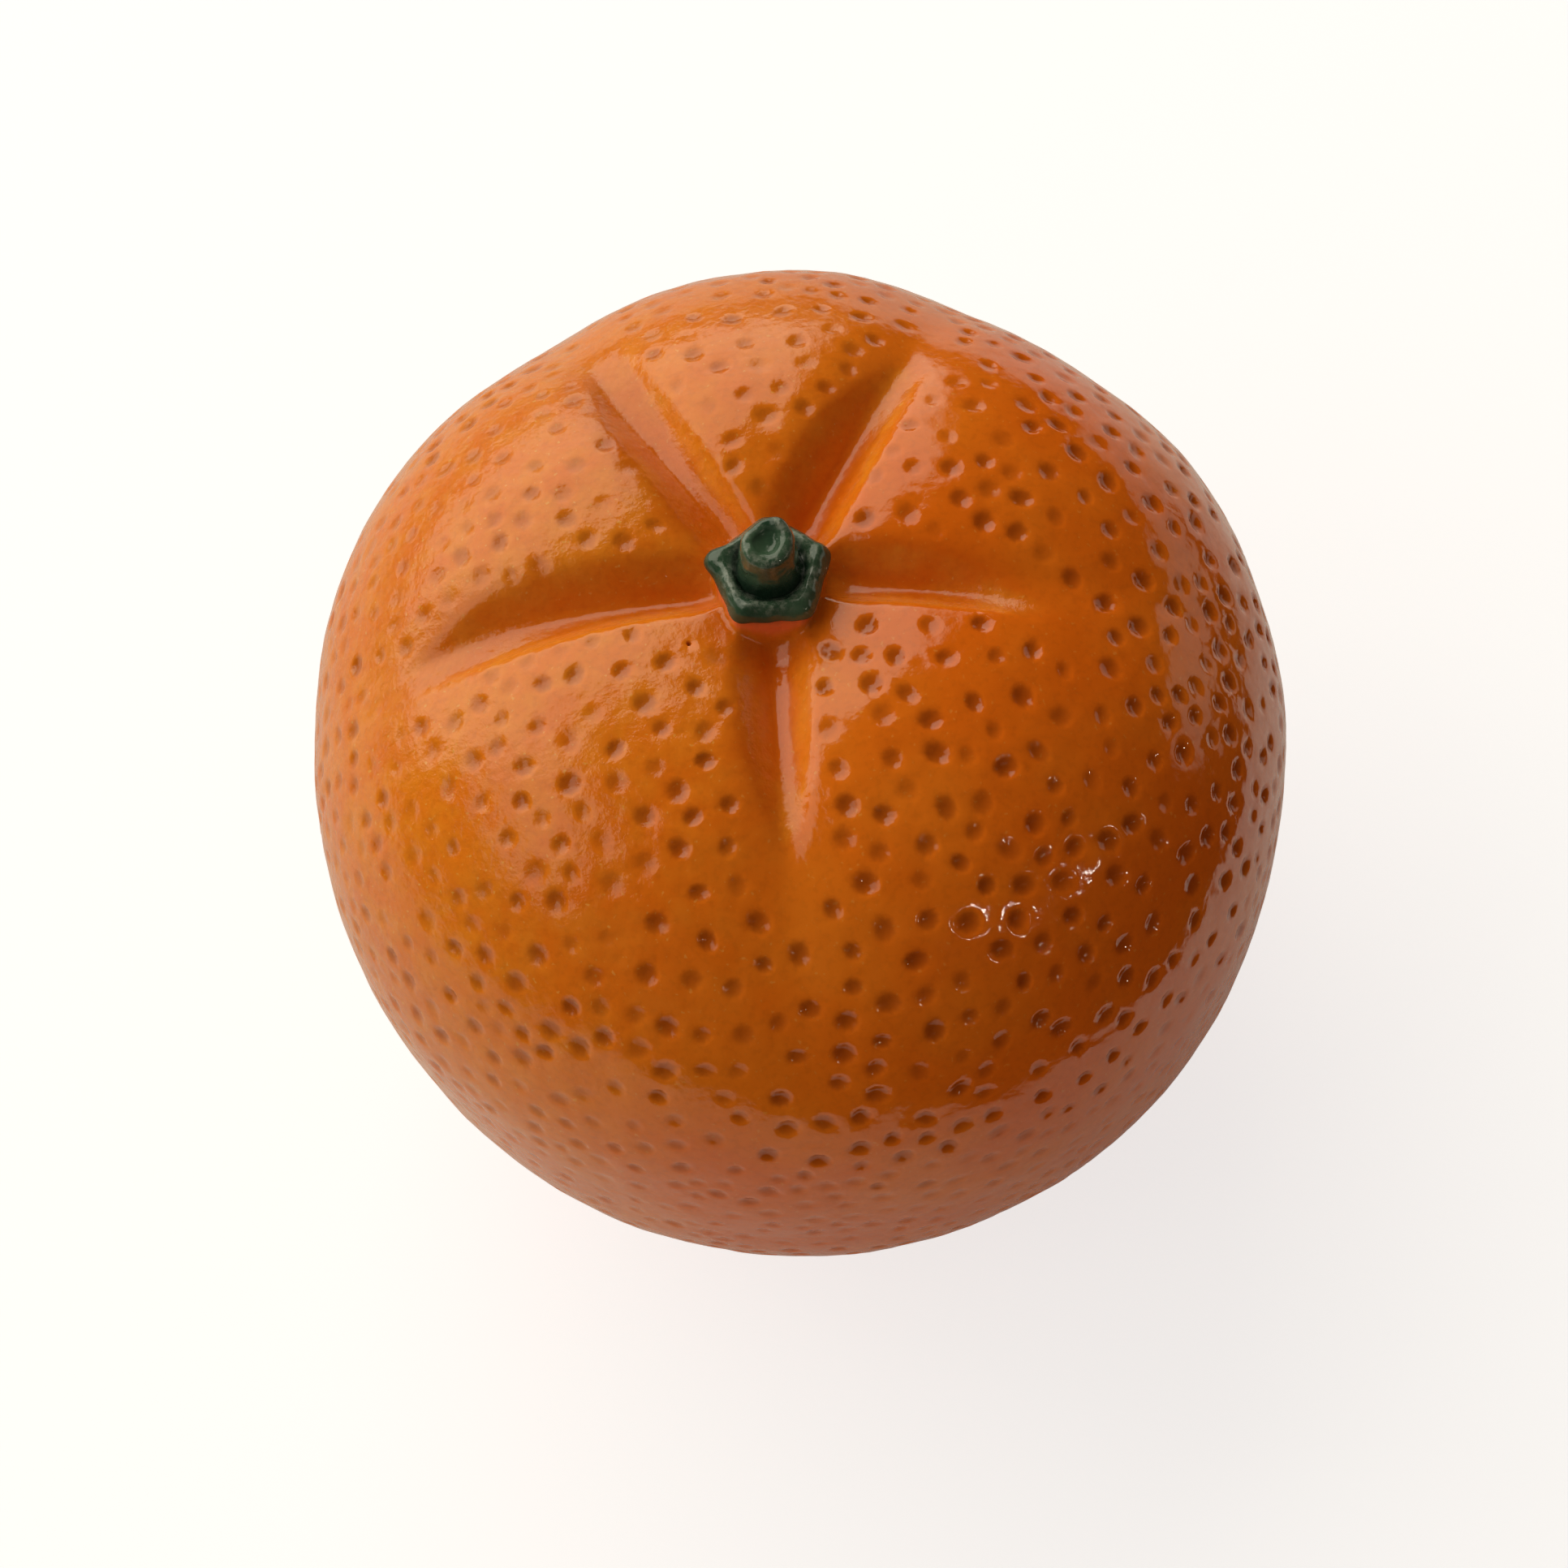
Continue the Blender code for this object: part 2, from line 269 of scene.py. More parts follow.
def skin_surface(unit):
    """Points of the glazed skin without its dimples, its depth in a furrow, and the seat's rise."""
    points, normals = base_surface(unit)
    radius = np.hypot(points[:, 0], points[:, 1])
    polar = np.degrees(np.arccos(np.clip(unit[:, 2], -1, 1)))
    azimuth = np.degrees(np.arctan2(points[:, 1], points[:, 0]))
    place, waist_drop = between_furrows(azimuth)
    lobe = LOBE_DROP * smooth_step(3.0, 24.0, polar) * smooth_step(72.0, 26.0, polar)
    level = smooth_step(30.0, 60.0, polar) * smooth_step(125.0, 80.0, polar)
    waist = waist_drop * level
    flat = FLAT_DEPTH * level * np.exp(-(((azimuth - FLAT_DIRECTION) / FLAT_WIDTH) ** 2))
    place = 1 - np.hypot(1 - np.abs(place), 0.06)
    sink = lobe * np.abs(place) ** LOBE_ROUNDNESS + waist * (0.5 - 0.5 * np.cos(np.pi * place)) ** 1.5 + flat
    cut = np.zeros(len(points))
    for furrow in FURROWS:
        cut = np.maximum(cut, furrow_cut(points, furrow))
    seat = seat_rise(points) * (points[:, 2] > 0)
    cut = cut * (1 - seat / SEAT_RISE)
    sink = sink + cut + HOLLOW_DEPTH * np.exp(-((radius / HOLLOW_RADIUS) ** 2))
    sink = sink - seat + hand_unevenness(points)
    return points - normals * sink[:, None], cut, seat


def thin_glaze(unit, cut):
    """How thin the glaze runs: thinnest on one side of the fruit and along the furrows' brims."""
    side = smooth_step(0.0, 0.9, unit @ np.array(THIN_SIDE)) * smooth_step(0.5, 0.1, cut)
    brim = smooth_step(0.02, 0.2, cut) * smooth_step(1.0, 0.45, cut)
    return np.maximum(side, brim)


def furrow_and_seat_shade(points):
    """Painted shade: down each furrow's gentle side and round the seat."""
    radius = np.hypot(points[:, 0], points[:, 1])
    painted_shade = smooth_step(7.5, 4.5, radius)
    for furrow in FURROWS:
        _, reach, steep_side, _, _, _, floor, widening = furrow
        along, aside = along_and_aside(points, furrow)
        floor = floor_width(along, floor, widening)
        side = -steep_side * aside
        slope = smooth_step(-0.1, 0.2, side) * smooth_step(4.5, 1.5, side - floor)
        slope = slope * smooth_step(1.0, 4.0, along) * smooth_step(reach + 2.0, reach - 8.0, along)
        painted_shade = np.maximum(painted_shade, slope)
    return painted_shade * (points[:, 2] > 0)


def surface_normals(unit):
    """Outward normals of the undimpled skin, from two small steps along it."""
    step = 2e-3
    side = np.cross(unit, np.array([0.31, 0.17, 0.94]))
    side /= np.linalg.norm(side, axis=1)[:, None]
    other = np.cross(unit, side)
    here = skin_surface(unit)[0]
    ahead = unit + side * step
    aside = unit + other * step
    ahead = skin_surface(ahead / np.linalg.norm(ahead, axis=1)[:, None])[0] - here
    aside = skin_surface(aside / np.linalg.norm(aside, axis=1)[:, None])[0] - here
    normals = np.cross(ahead, aside)
    normals /= np.linalg.norm(normals, axis=1)[:, None]
    flip = np.sign(np.sum(normals * unit, axis=1))
    return normals * flip[:, None]


# ---------------------------------------------------------------- dimples


def furrow_clearance(points):
    """Distance in millimetres from the nearest furrow's line, large beyond its end."""
    nearest = np.full(len(points), 99.0)
    for furrow in FURROWS:
        _, reach, steep_side = furrow[:3]
        along, aside = along_and_aside(points, furrow)
        past = np.maximum(np.maximum(along - reach, -along), 0.0)
        distance = np.hypot(aside + 1.3 * steep_side, past)
        nearest = np.minimum(nearest, np.where(points[:, 2] > 0, distance, 99.0))
    return nearest


def poke_dimples():
    """Centres (as unit directions), radii and depths of the dimples and the pinhole."""
    random = np.random.default_rng(DIMPLE_SEED)
    unit = random.normal(size=(DIMPLE_TRIES, 3))
    unit /= np.linalg.norm(unit, axis=1)[:, None]
    points, _ = base_surface(unit)
    radius = np.hypot(points[:, 0], points[:, 1])
    polar = np.degrees(np.arccos(unit[:, 2]))
    allowed = (polar < DIMPLE_LOWEST) & (furrow_clearance(points) > FURROW_CLEARANCE)
    allowed &= (radius > CROWN_CLEARANCE) | (points[:, 2] < 0)
    unit, points, polar = unit[allowed], points[allowed], polar[allowed]
    crowding = np.array([noise.noise(Vector(p) / 5.0) for p in points])
    low = smooth_step(58.0, 82.0, polar)
    spacing = DIMPLE_SPACING - 0.1 * low + 1.0 * np.clip(crowding, -0.5, 0.8)
    size = random.uniform(*DIMPLE_RADIUS, size=len(points)) * (1 - 0.08 * low)
    spacing = np.maximum(spacing, 2.42 * size)
    grid = {}
    chosen = []
    for k, point in enumerate(points):
        home = tuple(int(v) for v in np.floor(point / NEIGHBOUR_CELL))
        if all(
            np.linalg.norm(points[other] - point) > 0.5 * (spacing[k] + spacing[other])
            for dx in (-1, 0, 1)
            for dy in (-1, 0, 1)
            for dz in (-1, 0, 1)
            for other in grid.get((home[0] + dx, home[1] + dy, home[2] + dz), ())
        ):
            grid.setdefault(home, []).append(k)
            chosen.append(k)
    size = size[chosen]
    depth = random.uniform(*DIMPLE_DEPTH, size=len(chosen)) * size / np.mean(DIMPLE_RADIUS)
    unit = unit[chosen]
    opened = smooth_step(-0.4, 0.6, unit @ np.array(OPEN_SIDE))
    shoulder = (low * smooth_step(106.0, 90.0, polar))[chosen]
    depth = depth * (0.55 + 0.45 * opened) * (1 - 0.6 * shoulder)
    turn, out = math.radians(PINHOLE_PLACE[0]), PINHOLE_PLACE[1]
    hole = np.array([out * math.cos(turn), out * math.sin(turn), CROWN_RISE])
    hole /= np.linalg.norm(hole)
    apart = np.arccos(np.clip(unit @ hole, -1, 1)) > PINHOLE_CLEARANCE
    unit = np.concatenate([unit[apart], hole[None]])
    return unit, np.append(size[apart], PINHOLE_RADIUS), np.append(depth[apart], PINHOLE_DEPTH)


def tangents(unit):
    """Two directions across each unit direction."""
    first = np.cross(unit, np.array([0.23, 0.41, 0.88]))
    first /= np.linalg.norm(first, axis=1)[:, None]
    return first, np.cross(unit, first)


def dimple_rings(centres, sizes, depths):
    """Directions, sinks and shares of painted shade of the points that shape every dimple."""
    random = np.random.default_rng(DIMPLE_SEED + 1)
    first, second = tangents(centres)
    reach = np.linalg.norm(base_surface(centres)[0], axis=1)
    squash = random.uniform(0.0, 0.14, size=len(centres))
    squash_turn = random.uniform(0.0, math.tau, size=len(centres))
    lean = random.uniform(-0.2, 0.2, size=(2, len(centres)))
    units = [centres]
    sinks = [depths]
    # Painted shade in each dimple, darker the deeper the dimple
    pit_shade = np.clip(1.4 * depths / DIMPLE_DEPTH[1], 0.3, 1.0) * random.uniform(0.7, 1.0, size=len(centres))
    pits = [pit_shade]
    for share, count, sink, pit in zip(RING_SHARES, RING_POINTS, RING_SINK, RING_PIT_SHADE):
        start = random.uniform(0.0, math.tau, size=len(centres))
        for k in range(count):
            turn = start + math.tau * k / count
            radius = sizes * share * (1 + squash * np.cos(2 * (turn - squash_turn))) / reach
            inner = (1 - share / RING_SHARES[-1]) / reach * sizes
            across = np.cos(turn) * radius + lean[0] * inner
            along = np.sin(turn) * radius + lean[1] * inner
            point = centres + first * across[:, None] + second * along[:, None]
            units.append(point / np.linalg.norm(point, axis=1)[:, None])
            sinks.append(depths * sink)
            pits.append(pit * pit_shade)
    return np.concatenate(units), np.concatenate(sinks), np.concatenate(pits)


def fill_directions():
    """Directions spread over the skin between the dimples, closer in furrows and at the seat."""
    random = np.random.default_rng(DIMPLE_SEED + 2)
    units = []
    for spacing in (SKIN_SPACING, FURROW_SPACING, CROWN_SPACING):
        pitch = spacing / MEAN_RADIUS
        rings = int(math.radians(SKIN_END) / (pitch * 0.87))
        for k in range(1, rings):
            polar = k * pitch * 0.87
            if spacing == FURROW_SPACING and polar > FURROW_BAND:
                break
            if spacing == CROWN_SPACING and polar > CROWN_BAND:
                break
            count = max(6, int(math.tau * math.sin(polar) / pitch))
            turn = (np.arange(count) + 0.5 * (k % 2)) * math.tau / count
            turn = turn + random.uniform(-0.18, 0.18, size=count) * math.tau / count
            lean = polar + random.uniform(-0.15, 0.15, size=count) * pitch
            ring = np.stack(
                [np.sin(lean) * np.cos(turn), np.sin(lean) * np.sin(turn), np.cos(lean)], axis=1
            )
            points, _ = base_surface(ring)
            radius = np.hypot(points[:, 0], points[:, 1])
            top = points[:, 2] > 0
            in_crown = top & (radius < 6.0)
            in_furrow = top & (furrow_clearance(points) < 3.7) & ~in_crown
            wanted = {
                SKIN_SPACING: ~in_crown & ~in_furrow,
                FURROW_SPACING: in_furrow,
                CROWN_SPACING: in_crown,
            }[spacing]
            units.append(ring[wanted])
    return np.concatenate(units)


def skin_directions():
    """Every point of the skin as a direction, with its dimple's sink and share of painted shade."""
    centres, sizes, depths = poke_dimples()
    units, sinks, pits = dimple_rings(centres, sizes, depths)
    centre_points, _ = base_surface(centres)
    tree = kdtree.KDTree(len(centres))
    for k, point in enumerate(centre_points):
        tree.insert(point, k)
    tree.balance()
    fill = fill_directions()
    fill_points, _ = base_surface(fill)
    keep = []
    for k, point in enumerate(fill_points):
        near = tree.find_n(point, 2)
        keep.append(all(gap > sizes[index] * RING_SHARES[-1] + 0.28 for _, index, gap in near))
    fill = fill[np.array(keep)]
    turn = np.arange(SKIN_END_POINTS) * math.tau / SKIN_END_POINTS
    polar = math.radians(SKIN_END)
    edge = np.stack(
        [math.sin(polar) * np.cos(turn), math.sin(polar) * np.sin(turn), np.full(len(turn), math.cos(polar))],
        axis=1,
    )
    inside = np.arccos(np.clip(fill[:, 2], -1, 1)) < polar - 0.5 * SKIN_SPACING / MEAN_RADIUS
    fill = fill[inside]
    top = np.array([[0.0, 0.0, 1.0]])
    plain = np.concatenate([fill, top])
    units = np.concatenate([edge, units, plain])
    blank = np.zeros(len(plain))
    sinks = np.concatenate([np.zeros(len(edge)), sinks, blank])
    pits = np.concatenate([np.zeros(len(edge)), pits, blank])
    return units, sinks, pits


def triangulate(units):
    """Triangles between directions, found on the plane that the sphere projects onto."""
    flat = units[:, :2] / (1 + units[:, 2])[:, None]
    result = delaunay_2d_cdt([Vector(p) for p in flat], [], [], 0, 1e-9)
    origin = [group[0] for group in result[3]]
    faces = [tuple(origin[v] for v in face) for face in result[2]]
    return [face for face in faces if len(set(face)) == 3]


def ring_faces(first, second, count):
    """Quads between two rings of points, given by their first indices."""
    return [
        (first + k, first + (k + 1) % count, second + (k + 1) % count, second + k)
        for k in range(count)
    ]


def cavity_profile():
    """Inside of the shell, from the vent's inner mouth up towards the crown."""
    radius = BODY_RADIUS - CAVITY_WALL
    floor = EQUATOR_HEIGHT - RECESS_DEPTH - CAVITY_WALL
    points = []
    for k in range(CAVITY_RINGS):
        angle = CAVITY_START * (1 - k / CAVITY_RINGS)
        rise = floor if angle > math.pi / 2 else CAVITY_CROWN
        power = 2 / BELLY_EXPONENT
        height = rise * math.copysign(abs(math.cos(angle)) ** power, math.cos(angle))
        points.append((radius * math.sin(angle) ** power, EQUATOR_HEIGHT + height))
    return points


def make_body():
    """The skin, then ring by ring the foot, the vent and the cavity up to its crown."""
    units, sinks, pits = skin_directions()
    skin, cuts, seat = skin_surface(units)
    normals = surface_normals(units)
    points = skin - normals * sinks[:, None]
    points[:, 2] += EQUATOR_HEIGHT
    faces = triangulate(units)
    rings = list(FOOT_PROFILE) + cavity_profile()
    turn = np.arange(SKIN_END_POINTS) * math.tau / SKIN_END_POINTS
    stack = [points]
    start, last = len(points), 0
    for radius, height in rings:
        ring = [radius * np.cos(turn), radius * np.sin(turn), np.full(len(turn), height)]
        stack.append(np.stack(ring, axis=1))
        faces += ring_faces(start, last, SKIN_END_POINTS)
        last = start
        start += SKIN_END_POINTS
    stack.append(np.array([[0.0, 0.0, EQUATOR_HEIGHT + CAVITY_CROWN]]))
    faces += [(last + (k + 1) % SKIN_END_POINTS, last + k, start) for k in range(SKIN_END_POINTS)]
    points = np.concatenate(stack)
    extra = len(points) - len(pits)
    pits = np.concatenate([pits, np.zeros(extra)])
    # Painted shade down the furrows' gentle sides and round the seat
    painted_shade = np.concatenate([furrow_and_seat_shade(skin), np.zeros(extra)])
    cuts = np.concatenate([cuts / DEEPEST_CUT, np.zeros(extra)])
    seat = np.concatenate([seat / SEAT_RISE, np.zeros(extra)])
    thin = np.concatenate([thin_glaze(units, cuts[:len(units)]), np.zeros(extra)])
    bare = np.zeros(len(points))
    bare[len(units) + SKIN_END_POINTS:] = 1.0
    shares = {"pit": pits, "painted_shade": painted_shade, "seat": seat, "thin": thin, "bare": bare}
    return make_mesh("dimpled_body", points, faces, shares)


def make_mesh(name, points, faces, shares):
    """A smooth-shaded object from points in millimetres, with named per-point values."""
    mesh = bpy.data.meshes.new(name)
    mesh.from_pydata((points * MM).tolist(), [], faces)
    mesh.update()
    for key, values in shares.items():
        layer = mesh.attributes.new(key, "FLOAT", "POINT")
        layer.data.foreach_set("value", np.asarray(values, dtype=np.float32))
    mesh.shade_smooth()
    obj = bpy.data.objects.new(name, mesh)
    bpy.context.scene.collection.objects.link(obj)
    return obj


# ---------------------------------------------------------------- calyx and stem


def five_sided(radius, azimuth, corner):
    """Radius moved out to a soft-cornered pentagon; corner is 0 for round and 1 for full corners."""
    from_corner = 36 - np.abs((azimuth - FIRST_CORNER) % 72 - 36)
    from_corner = np.where(from_corner < 9, from_corner ** 2 / 18 + 4.5, from_corner)
    return radius * (1 + corner * (1 / np.cos(np.radians(36 - from_corner)) - 1))


CALYX_PROFILE = (
    # apothem, height over the calyx's base, corner sharpness
    (0.0, 0.0, 0.0), (2.8, 0.0, 0.9), (3.5, 0.03, 0.95), (3.72, 0.2, 1.0), (3.73, 0.5, 1.0),
    (3.6, 0.85, 1.0), (3.42, 1.15, 1.0), (3.2, 1.38, 0.95), (2.98, 1.48, 0.9), (2.76, 1.45, 0.8),
    (2.6, 1.3, 0.55), (2.48, 1.12, 0.3), (2.36, 1.02, 0.1), (2.22, 1.02, 0.0), (2.05, 1.2, 0.0),
    (0.0, 1.3, 0.0),
)

STEM_PROFILE = (
    # radius, height over the stem's base
    (0.0, 0.0), (2.4, 0.0), (2.32, 0.25), (2.2, 0.6), (2.1, 1.0), (2.03, 1.6), (1.97, 2.2),
    (1.92, 2.8), (1.88, 3.2), (1.82, 3.48), (1.72, 3.7), (1.54, 3.84), (1.34, 3.88), (1.08, 3.86),
    (0.92, 3.78), (0.78, 3.62), (0.55, 3.5), (0.3, 3.44), (0.0, 3.42),
)


CALYX_SIDES = 180
STEM_SIDES = 120
STEPS_PER_ROW = 3

# Directions of the calyx's drawn-out corner and of the stem's raised corner and flat side
TIP_DIRECTION = 157
STEM_CORNER = 45
STEM_FLAT = 130


def turned_arrays(profile, sides):
    """Radii, heights, turns, places in the profile and faces of a shape turned from a profile."""
    profile = np.array([row[:2] for row in profile])
    steps = np.linspace(0, len(profile) - 1, (len(profile) - 1) * STEPS_PER_ROW + 1)
    index = np.arange(len(profile))
    radius = np.interp(steps, index, profile[:, 0])
    height = np.interp(steps, index, profile[:, 1])
    for _ in range(2):
        radius[1:-1] = 0.25 * radius[:-2] + 0.5 * radius[1:-1] + 0.25 * radius[2:]
        height[1:-1] = 0.25 * height[:-2] + 0.5 * height[1:-1] + 0.25 * height[2:]
    turn = np.arange(sides) * math.tau / sides
    rings = len(steps) - 2
    grid_radius = np.repeat(radius[1:-1], sides)
    grid_height = np.repeat(height[1:-1], sides)
    grid_turn = np.tile(turn, rings)
    faces = []
    for k in range(rings - 1):
        faces += ring_faces(k * sides, (k + 1) * sides, sides)
    bottom, top = rings * sides, rings * sides + 1
    faces += [((k + 1) % sides, k, bottom) for k in range(sides)]
    last = (rings - 1) * sides
    faces += [(last + k, last + (k + 1) % sides, top) for k in range(sides)]
    grid_radius = np.append(grid_radius, [0.0, 0.0])
    grid_height = np.append(grid_height, [height[0], height[-1]])
    grid_turn = np.append(grid_turn, [0.0, 0.0])
    place = np.append(np.repeat(steps[1:-1], sides), [0.0, steps[-1]])
    return grid_radius, grid_height, grid_turn, place, faces


def clay_grain(points, size, amount, shift):
    """Small lumps of hand-worked clay."""
    lumps = [noise.noise(Vector(p) / size + Vector((shift, 0, 0))) for p in points]
    return amount * np.array(lumps)


def make_calyx():
    """A dished five-cornered button of clay, with one corner drawn out."""
    radius, height, turn, place, faces = turned_arrays(CALYX_PROFILE, CALYX_SIDES)
    azimuth = np.degrees(turn)
    sharp = np.interp(place, np.arange(len(CALYX_PROFILE)), [row[2] for row in CALYX_PROFILE])
    radius = five_sided(radius, azimuth, sharp)
    tip = toward(azimuth, TIP_DIRECTION, 14.0)
    radius = radius * (1 + 0.09 * tip * (sharp > 0.5))
    base = CALYX_BOX[0][2] / MM
    points = np.stack([radius * np.cos(turn), radius * np.sin(turn), height], axis=1)
    rim = np.exp(-(((radius - 3.0) / 0.5) ** 2)) * (height > 0.8)
    points[:, 2] += clay_grain(points, 1.3, 0.14, 3.0) * (height > 0.3) + 0.12 * tip * rim
    points[:, 0] += clay_grain(points, 1.1, 0.1, 11.0)
    points[:, 1] += clay_grain(points, 1.1, 0.1, 19.0)
    # Painted shade in the dish round the stem
    dish_shade = smooth_step(1.45, 1.1, height) * smooth_step(2.9, 2.5, radius) * (height > 0.6)
    points[:, 2] += base
    return make_mesh("calyx_star", points, faces, {"edge": rim, "deep": dish_shade})


def make_stem():
    """A tapered stub with a pit in its end, higher at one corner and flatter on one side."""
    radius, height, turn, _, faces = turned_arrays(STEM_PROFILE, STEM_SIDES)
    azimuth = np.degrees(turn)
    top = smooth_step(1.6, 3.8, height)
    corner = toward(azimuth, STEM_CORNER, 32.0)
    radius = radius * (1 + 0.13 * corner * top * (radius > 0.8))
    flat = toward(azimuth, STEM_FLAT, 38.0)
    radius = radius * (1 - 0.07 * flat * top)
    points = np.stack([radius * np.cos(turn), radius * np.sin(turn), height], axis=1)
    outer = smooth_step(0.9, 1.8, radius)
    points[:, 2] += top * (0.5 * corner * outer + 0.07 * points[:, 1])
    edge = np.exp(-(((radius - 1.5) / 0.35) ** 2)) * top
    for axis, shift in ((0, 2.0), (1, 9.0), (2, 17.0)):
        points[:, axis] += clay_grain(points, 1.2, 0.12, shift)
    points[:, 2] += STEM_BOX[0][2] / MM - 0.3
    # The deep share is painted shade at the stem's foot
    return make_mesh("stem_stub", points, faces, {"edge": edge, "deep": smooth_step(1.7, 0.5, height)})


# ---------------------------------------------------------------- materials


class Nodes:
    """Short ways to add and join the nodes of one material."""

    def __init__(self, name):
        self.material = bpy.data.materials.new(name)
        self.material.use_nodes = True
        self.tree = self.material.node_tree
        self.shader = self.tree.nodes["Principled BSDF"]

    def add(self, kind, **settings):
        node = self.tree.nodes.new(kind)
        for key, value in settings.items():
            setattr(node, key, value)
        return node

    def link(self, source, target):
        self.tree.links.new(source, target)

    def share(self, name):
        """A per-point value of the mesh."""
        return self.add("ShaderNodeAttribute", attribute_name=name).outputs["Fac"]

    def noise(self, scale, detail, roughness):
        """Noise over the object, with scale in features per metre."""
        node = self.add("ShaderNodeTexNoise")
        node.inputs["Scale"].default_value = scale
        node.inputs["Detail"].default_value = detail
        node.inputs["Roughness"].default_value = roughness
        place = self.add("ShaderNodeTexCoord")
        self.link(place.outputs["Object"], node.inputs["Vector"])
        return node.outputs["Fac"]

    def range(self, value, low, high, to_low=0.0, to_high=1.0):
        """Value stretched from low..high to another range, and held there."""
        node = self.add("ShaderNodeMapRange", interpolation_type="SMOOTHSTEP")
        self.link(value, node.inputs["Value"])
        node.inputs["From Min"].default_value = low
        node.inputs["From Max"].default_value = high
        node.inputs["To Min"].default_value = to_low
        node.inputs["To Max"].default_value = to_high
        return node.outputs["Result"]

    def math(self, operation, first, second):
        """A sum, product or other operation on two values, each a socket or a number."""
        node = self.add("ShaderNodeMath", operation=operation)
        for socket, value in zip(node.inputs, (first, second)):
            if isinstance(value, (int, float)):
                socket.default_value = value
            else:
                self.link(value, socket)
        return node.outputs["Value"]

    def blend(self, factor, first, second):
        """One colour turning into another; each is a socket or an RGB triple."""
        node = self.add("ShaderNodeMix", data_type="RGBA")
        self.link(factor, node.inputs[0])
        for socket, value in ((node.inputs[6], first), (node.inputs[7], second)):
            if isinstance(value, tuple):
                socket.default_value = (*value, 1.0)
            else:
                self.link(value, socket)
        return node.outputs[2]

    def bump(self, height, distance, strength, under=None):
        """Normals tilted by a height; the strength is a socket or a number."""
        node = self.add("ShaderNodeBump")
        if isinstance(strength, float):
            node.inputs["Strength"].default_value = strength
        else:
            self.link(strength, node.inputs["Strength"])
        node.inputs["Distance"].default_value = distance
        self.link(height, node.inputs["Height"])
        if under is not None:
            self.link(under, node.inputs["Normal"])
        return node.outputs["Normal"]


def orange_glaze():
    """Clear glossy glaze over orange, golden where it runs thin, with brown painted shade in the dimples,
    down the furrows' gentle sides and round the seat.
    """
    n = Nodes("orange_glaze_look")
    pit = n.share("pit")
    thin = n.share("thin")
    bare = n.share("bare")
    broad = n.noise(70.0, 3.0, 0.55)
    fine = n.noise(420.0, 4.0, 0.6)
    grain = n.noise(1900.0, 3.0, 0.55)
    colour = n.blend(n.range(broad, 0.35, 0.68), (0.90, 0.168, 0.006), (0.94, 0.22, 0.011))
    gold = n.math("MULTIPLY", thin, n.range(fine, 0.3, 0.75, 0.35, 1.0))
    colour = n.blend(n.math("MULTIPLY", gold, 0.55), colour, (1.0, 0.38, 0.025))
    fleck = n.math("ADD", n.math("MULTIPLY", thin, 0.4), 0.25)
    fleck = n.math("MULTIPLY", n.range(n.noise(2600.0, 1.0, 0.5), 0.68, 0.78), fleck)
    colour = n.blend(fleck, colour, (1.0, 0.50, 0.10))
    colour = n.blend(n.math("MULTIPLY", n.range(grain, 0.45, 0.7), 0.16), colour, (0.52, 0.10, 0.006))
    # Painted shade in the dimples, then painted shade down the furrows' gentle sides and round the seat
    painted_shade = n.math("MULTIPLY", n.range(pit, 0.0, 1.0), 0.6)
    colour = n.blend(painted_shade, colour, (0.30, 0.045, 0.004))
    colour = n.blend(n.math("MULTIPLY", n.share("painted_shade"), 0.34), colour, (0.50, 0.055, 0.003))
    colour = n.blend(n.range(n.share("seat"), 0.15, 0.6), colour, (0.95, 0.19, 0.05))
    colour = n.blend(bare, colour, (0.62, 0.50, 0.38))
    n.link(colour, n.shader.inputs["Base Color"])
    rough = n.math("ADD", n.range(fine, 0.3, 0.75, 0.05, 0.10), n.math("MULTIPLY", thin, 0.02))
    rough = n.math("MAXIMUM", rough, n.math("MULTIPLY", bare, 0.8))
    n.link(rough, n.shader.inputs["Roughness"])
    n.shader.inputs["IOR"].default_value = 1.52
    normal = n.bump(n.noise(480.0, 2.0, 0.5), 0.0001, 0.7)
    worked = n.math("ADD", n.math("MULTIPLY", thin, 0.5), 0.14)
    normal = n.bump(n.noise(1100.0, 4.0, 0.6), 0.00014, worked, under=normal)
    n.link(normal, n.shader.inputs["Normal"])
    return n.material


def green_glaze():
    """Dark green semi-gloss glaze, thin and pale grey along the raised edges, with painted shade in the
    calyx's dish and at the stem's foot.
    """
    n = Nodes("green_glaze_look")
    edge = n.share("edge")
    broad = n.noise(260.0, 3.0, 0.55)
    fine = n.noise(1300.0, 4.0, 0.6)
    colour = n.blend(n.range(broad, 0.35, 0.65), (0.020, 0.058, 0.032), (0.056, 0.112, 0.064))
    # Painted shade in the calyx's dish and at the stem's foot, from the deep share
    colour = n.blend(n.math("MULTIPLY", n.share("deep"), 0.8), colour, (0.004, 0.013, 0.008))
    worn = n.math("MULTIPLY", edge, n.range(n.noise(1500.0, 5.0, 0.7), 0.42, 0.66))
    colour = n.blend(n.math("MULTIPLY", worn, 0.7), colour, (0.30, 0.34, 0.28))
    n.link(colour, n.shader.inputs["Base Color"])
    n.link(n.range(fine, 0.3, 0.7, 0.06, 0.20), n.shader.inputs["Roughness"])
    n.shader.inputs["IOR"].default_value = 1.6
    normal = n.bump(n.noise(600.0, 2.0, 0.5), 0.00025, 0.8)
    normal = n.bump(fine, 0.00006, 0.6, under=normal)
    n.link(normal, n.shader.inputs["Normal"])
    return n.material


# ---------------------------------------------------------------- stage, light and camera


